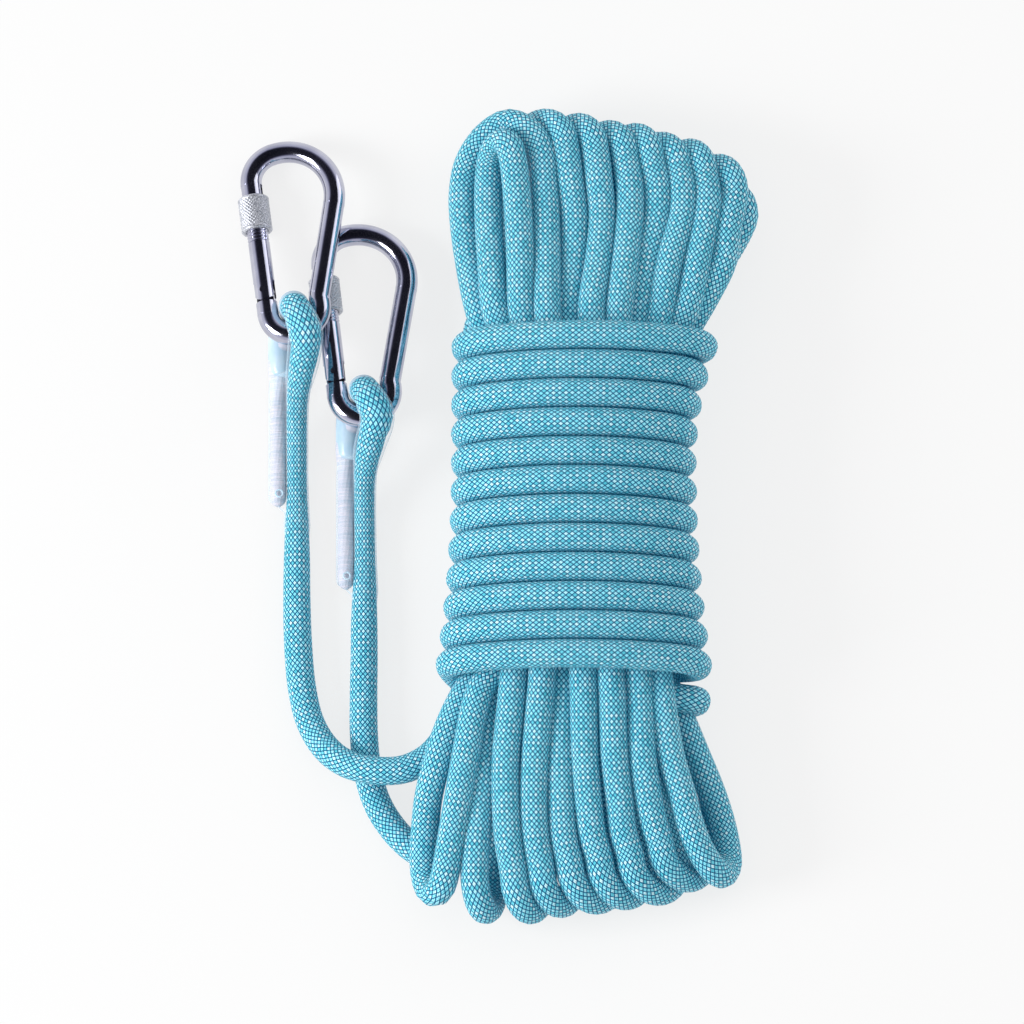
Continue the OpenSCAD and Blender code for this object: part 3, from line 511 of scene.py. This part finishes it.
# Stripped ends, sewn beside the rope; each row is a point and a radius, and end B is end A shifted
strippedEnd = {
    "shift": {"a": (0, 0, 0), "b": (25.1, -31.2, 0)}, "step": 1.0, "sides": 32, "leastRadius": 0.3,
    "rows": [(-74.8, 72.6, 8.2, 4.6), (-77.8, 69.4, 7, 4.4), (-80.2, 65, 5.9, 4.1), (-81.3, 60, 5.2, 3.9),
             (-81.4, 56, 4.7, 3.6), (-81.3, 51, 4.2, 3.15), (-81.3, 40, 4.1, 3.05), (-81.3, 26, 4.1, 3.05),
             (-81.3, 14, 4.1, 3.05), (-81.3, 9.4, 4, 2.95), (-81.2, 7.4, 3.9, 2.3), (-81.1, 6.2, 3.8, 0.5)],
    "yarnsAround": 14.0, "yarnLay": 0.09,  # turns of the yarns' lay for each mm
    "eyelet": (-80.9, 10.6, 7.9), "eyeletRadius": 1.3, "eyeletWire": 0.35, "eyeletSides": (32, 12),
    "stitchSpan": (44, 14), "stitchRows": 16, "stitchSides": (32, 6), "threadRadius": 0.16,
}


def barePolyamide():
    # core yarns laid side by side, off-white
    material, tree, output = newMaterial("barePolyamideCore")
    place = addNode(tree, "ShaderNodeUVMap", {"uv_map": "around"})
    parts = addNode(tree, "ShaderNodeSeparateXYZ", inputs={0: place.outputs["UV"]})
    turns = addNode(tree, "ShaderNodeMath", {"operation": "MULTIPLY"},
                    {0: parts.outputs["X"], 1: strippedEnd["yarnsAround"]})
    lay = addNode(tree, "ShaderNodeMath", {"operation": "MULTIPLY_ADD"},
                  {0: parts.outputs["Y"], 1: strippedEnd["yarnLay"], 2: turns.outputs[0]})
    wave = addNode(tree, "ShaderNodeMath", {"operation": "PINGPONG"}, {0: lay.outputs[0], 1: 0.5})
    uneven = addNode(tree, "ShaderNodeTexNoise", {"noise_dimensions": "2D"},
                     {"Vector": place.outputs["UV"], "Scale": 1.5, "Detail": 3.0})
    shade = addNode(tree, "ShaderNodeValToRGB", inputs={"Fac": uneven.outputs["Fac"]},
                    stops=[(0.3, "#A9B4C4"), (0.7, "#C9C5D1")])
    bump = addNode(tree, "ShaderNodeBump", inputs={
        "Height": wave.outputs[0], "Strength": 0.35, "Distance": 0.3 * mm})
    shader = addNode(tree, "ShaderNodeBsdfPrincipled", inputs={
        "Base Color": shade.outputs["Color"], "Roughness": 0.6, "Normal": bump.outputs[0], "Sheen Weight": 0.2})
    tree.links.new(shader.outputs[0], output.inputs["Surface"])
    return material


def clearFilm(name, tint, middle, edge):
    # heat-shrunk film: clear where it faces out, milky where it turns away or lies double; wrinkles about 6 mm
    material, tree, output = newMaterial(name)
    weight = addNode(tree, "ShaderNodeLayerWeight", inputs={"Blend": 0.25})
    cover = addNode(tree, "ShaderNodeMapRange", inputs={
        "Value": weight.outputs["Facing"], "From Min": 0.25, "To Min": middle, "To Max": edge})
    place = addNode(tree, "ShaderNodeTexCoord")
    wrinkles = addNode(tree, "ShaderNodeTexNoise", inputs={
        "Vector": place.outputs["Object"], "Scale": 160.0, "Detail": 2.0})
    shade = addNode(tree, "ShaderNodeValToRGB", inputs={"Fac": wrinkles.outputs["Fac"]}, stops=tint)
    bump = addNode(tree, "ShaderNodeBump", inputs={
        "Height": wrinkles.outputs["Fac"], "Strength": 0.3, "Distance": 0.4 * mm})
    shader = addNode(tree, "ShaderNodeBsdfPrincipled", inputs={
        "Base Color": shade.outputs["Color"], "Roughness": 0.22, "Alpha": cover.outputs["Result"],
        "Normal": bump.outputs[0]})
    tree.links.new(shader.outputs[0], output.inputs["Surface"])
    return material


def sewingThread():  # polyester thread, its fibres about 1 mm apart in tone
    material, tree, output = newMaterial("sewingThread")
    place = addNode(tree, "ShaderNodeTexCoord")
    fibres = addNode(tree, "ShaderNodeTexNoise", inputs={"Vector": place.outputs["Object"], "Scale": 900.0})
    shade = addNode(tree, "ShaderNodeValToRGB", inputs={"Fac": fibres.outputs["Fac"]},
                    stops=[(0.3, "#B4BBC8"), (0.7, "#CFCFDA")])
    shader = addNode(tree, "ShaderNodeBsdfPrincipled", inputs={
        "Base Color": shade.outputs["Color"], "Roughness": 0.6})
    tree.links.new(shader.outputs[0], output.inputs["Surface"])
    return material


barePolyamideCore = barePolyamide()
film = clearFilm("clearShrinkFilm", [(0.3, "#BFD8E8"), (0.7, "#D6E4F0")], 0.01, 0.9)
doubledFilm = clearFilm("doubledShrinkFilm", [(0.3, "#B6D5EA"), (0.7, "#C9E0EE")], 0.7, 0.9)
thread = sewingThread()


def strippedPiece(which):  # a tube along its own rows, that narrows to a tip
    rows = np.array(strippedEnd["rows"]) + (*strippedEnd["shift"][which], 0)
    rows, along = smoothRoute(rows, strippedEnd["step"])
    rows[:, 3] = np.clip(rows[:, 3], strippedEnd["leastRadius"], None)
    piece = tubePiece("strippedEnd_" + which, rows[:, :3], rows[:, 3], along, strippedEnd["sides"],
                      barePolyamideCore)
    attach(piece, "rope")
    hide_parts("stripped_tail_" + which)
    return rows


def stitchPiece(which, strippedRows):
    # rows of thread round the stripped end, each a ring: R + t cos b from its centre, at height y + t sin b
    y = np.linspace(*strippedEnd["stitchSpan"], strippedEnd["stitchRows"]) + strippedEnd["shift"][which][1]
    x, z, r = (np.interp(-y, -strippedRows[:, 1], strippedRows[:, c])[:, None, None] for c in (0, 2, 3))
    around, across = strippedEnd["stitchSides"]
    a = np.arange(around)[None, :, None] * 2 * np.pi / around
    b = np.arange(across)[None, None] * 2 * np.pi / across
    wide = r + strippedEnd["threadRadius"] * np.cos(b)
    height = y[:, None, None] + strippedEnd["threadRadius"] * np.sin(b)
    points = np.stack(np.broadcast_arrays(x + wide * np.cos(a), height, z + wide * np.sin(a)), -1)
    firsts = np.arange(len(y))[:, None, None] * around * across
    faces = (firsts + gridFaces(around, across, closed=True)).reshape(-1, 4)
    piece = makePiece("stitches_" + which, points.reshape(-1, 3) * mm, faces, material=thread)
    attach(piece, "rope")
    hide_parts("stitching_" + which)


def eyeletPiece(which):
    # the small ring in the film near the stripped end's tip: centre + R outward + w (cos b outward + sin b up)
    centre = np.array(strippedEnd["eyelet"]) + strippedEnd["shift"][which]
    around, across = strippedEnd["eyeletSides"]
    a, b = np.arange(around) * 2 * np.pi / around, np.arange(across)[:, None] * 2 * np.pi / across
    outward = np.column_stack([np.cos(a), np.sin(a), 0 * a])[:, None]
    wire = np.cos(b) * outward + np.sin(b) * np.array([0, 0, 1])
    points = centre + strippedEnd["eyeletRadius"] * outward + strippedEnd["eyeletWire"] * wire
    faces = gridFaces(around, across, closed=True)[:, ::-1]
    piece = makePiece("eyelet_" + which, points.reshape(-1, 3) * mm, faces, material=doubledFilm)
    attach(piece, "rope")


# Film over both: a belt round the stripped end and the rope, that closes on the rope alone past the end. At
# the top it lies double, in a cuff beside the rope and round the lower half of its eye, and it goes up the
# rope's leg
shrinkFilm = {
    "wall": 0.55, "skin": 0.1, "offFloor": 0.1, "thinEnd": 5.0, "endTuck": 0.2, "closeIn": 4.0, "sides": 48,
    "step": 0.8, "tailRows": 12, "tubeSides": 32, "lift": 0.5, "lowerRows": 6, "lowerWall": 0.35, "legFrom": 7,
    "legWalls": (-0.15, 0.3, 0.45, 0.5, 1.0, 0.9, 0.2, -0.2),
    "top": {"a": 54.5, "b": 23.3}, "strippedFoot": {"a": 8.4, "b": -22.8}, "foot": {"a": -6, "b": -31},
    "cuff": [(-79.6, 73.5, 5.2, 4.3), (-80.3, 71, 5.4, 4.6), (-80.4, 67, 5.4, 4.7), (-80.4, 60, 5.2, 4.6),
             (-80.1, 56.4, 5, 4.4), (-80.3, 55.4, 4.8, 4)],
}


def cuffPieces(which, tail):
    # tubes along the cuff's own rows, the lower half of the eye and the rope's front leg; the last two follow
    # the eye's rows, moved away from its centre by the lift and wider than the rope by their wall
    rows = np.array(shrinkFilm["cuff"]) + (*strippedEnd["shift"][which], 0)
    ring = eyeRows(which)
    outward = ring[:, :3] - np.array(rope["eyes"][which][0])
    ring[:, :3] += shrinkFilm["lift"] * outward / np.linalg.norm(outward, axis=1)[:, None]
    lower = ring[:shrinkFilm["lowerRows"]] + (0, 0, 0, shrinkFilm["lowerWall"])
    lower[:, 2] = np.maximum(lower[:, 2], lower[:, 3] + shrinkFilm["offFloor"])
    leg = np.vstack([ring[shrinkFilm["legFrom"]:], tail[1:]])[:len(shrinkFilm["legWalls"])]
    leg[:, 3] += shrinkFilm["legWalls"]
    for name, path, material in (("filmCuff_", rows, doubledFilm), ("filmEye_", lower, doubledFilm),
                                 ("filmLeg_", leg, film)):
        path, along = smoothRoute(path, shrinkFilm["step"])
        piece = tubePiece(name + which, path[:, :3], path[:, 3], along, shrinkFilm["tubeSides"], material)
        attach(piece, "rope")


def filmPiece(which, strippedRows, tailPath):
    # at each y two half rings, centre + (r + wall) (cos b, sin b), one about the rope, one about the stripped
    # end, whose centre moves into the rope's past the end's foot; the skin inside is the same, a bit smaller
    top, foot, tip = (shrinkFilm[key][which] for key in ("top", "foot", "strippedFoot"))
    skin, offFloor, tuck, sides = (shrinkFilm[key] for key in ("skin", "offFloor", "endTuck", "sides"))
    y = np.arange(top, foot, -shrinkFilm["step"])
    beside, behind = ([np.interp(-y, -rows[:, 1], rows[:, c]) for c in (0, 2, 3)]
                      for rows in (strippedRows, tailPath))
    kept = np.clip((y - tip) / shrinkFilm["closeIn"] + 1, 0, 1) ** 0.5
    left = [kept * p + (1 - kept) * q for p, q in zip(beside, behind)]
    lean = np.arctan2(behind[1] - beside[1], behind[0] - beside[0])[:, None]
    b = (np.arange(sides) + 0.5)[None] * 2 * np.pi / sides
    right = np.cos(b) > 0
    x, z, r = (np.where(right, q[:, None], p[:, None]) for p, q in zip(left, behind))
    rise = np.clip(np.minimum(top - y, y - foot) / shrinkFilm["thinEnd"], 0, 1)
    r = r + shrinkFilm["wall"] * ((1 + tuck) * rise[:, None] - tuck)
    points = np.stack([x + r * np.cos(b + lean), np.repeat(y[:, None], sides, 1), z + r * np.sin(b + lean)], -1)
    points[..., 2] = np.maximum(points[..., 2], offFloor)
    inner = np.stack([x + (r - skin) * np.cos(b + lean), points[..., 1], z + (r - skin) * np.sin(b + lean)], -1)
    inner[..., 2] = np.maximum(inner[..., 2], offFloor + skin)
    both = np.concatenate([points, inner[::-1]])
    faces = gridFaces(len(both), sides, closed=True)
    piece = makePiece("shrinkFilm_" + which, both.reshape(-1, 3) * mm, faces, material=film)
    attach(piece, "rope")
    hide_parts("shrink_sleeve_" + which)


for which in "ab":
    tail = np.array(looseRows["tail" + which.upper()])
    strippedRows = strippedPiece(which)
    stitchPiece(which, strippedRows)
    eyeletPiece(which)
    cuffPieces(which, tail)
    filmPiece(which, strippedRows, smoothRoute(tail[:shrinkFilm["tailRows"]], strippedEnd["step"])[0])
print("sewn ends made")

# Floor, world and lamps
studio = {
    "skyStops": [(0.0, "#F4F4FA"), (0.45, "#D4D5E2"), (0.6, "#6A6A7E"), (0.7, "#23232F"), (1.0, "#14141C")],
    "roomLight": 0.82, "floorGlow": 0.76, "floorHalf": 3.0, "floorDrop": 0.2 * mm,
    # name, place in metres, width, power
    "lamps": (("key", (-1.5, -0.3, 0.85), 0.7, 30.0), ("fill", (1.3, 0.9, 0.8), 1.1, 4.0)),
}
far, low = studio["floorHalf"], -studio["floorDrop"]
paperSweep, tree, output = newMaterial("paperSweep")
paper = addNode(tree, "ShaderNodeBsdfPrincipled", inputs={
    "Base Color": linear("#6F6F6F"), "Roughness": 0.95, "Specular IOR Level": 0.05,
    "Emission Color": linear("#FFFFFF"), "Emission Strength": studio["floorGlow"]})
tree.links.new(paper.outputs[0], output.inputs["Surface"])
floor = makePiece("floor", np.array([(-far, -far, low), (far, -far, low), (far, far, low), (-far, far, low)]),
                  np.array([[0, 1, 2, 3]]), material=paperSweep)

world = bpy.data.worlds.new("studio")
bpy.context.scene.world = world
world.use_nodes = True
tree = world.node_tree
tree.nodes.clear()
# the room is white, but steel and film mirror it dark overhead and bright to the sides
place = addNode(tree, "ShaderNodeTexCoord")
heading = addNode(tree, "ShaderNodeSeparateXYZ", inputs={0: place.outputs["Generated"]})
sky = addNode(tree, "ShaderNodeValToRGB", inputs={"Fac": heading.outputs["Z"]}, stops=studio["skyStops"])
ray = addNode(tree, "ShaderNodeLightPath")
lit = addNode(tree, "ShaderNodeMix", {"data_type": "RGBA"}, {
    "Factor": ray.outputs["Is Diffuse Ray"], "A": linear("#FFFFFF"), "B": (*[studio["roomLight"]] * 3, 1.0)})
seen = addNode(tree, "ShaderNodeMix", {"data_type": "RGBA"}, {
    "Factor": ray.outputs["Is Glossy Ray"], "A": lit.outputs["Result"], "B": sky.outputs["Color"]})
room = addNode(tree, "ShaderNodeBackground", inputs={"Color": seen.outputs["Result"], "Strength": 1.0})
addNode(tree, "ShaderNodeOutputWorld", inputs={"Surface": room.outputs[0]})
for name, place, size, power in studio["lamps"]:
    lampData = bpy.data.lights.new(name, "AREA")
    lampData.size, lampData.energy = size, power
    lamp = bpy.data.objects.new(name, lampData)
    lamp.location = place
    lamp.rotation_euler = (-Vector(place)).to_track_quat("-Z", "Y").to_euler()
    bpy.context.scene.collection.objects.link(lamp)
print("studio lit")

bpy.context.scene.view_settings.view_transform = "Standard"
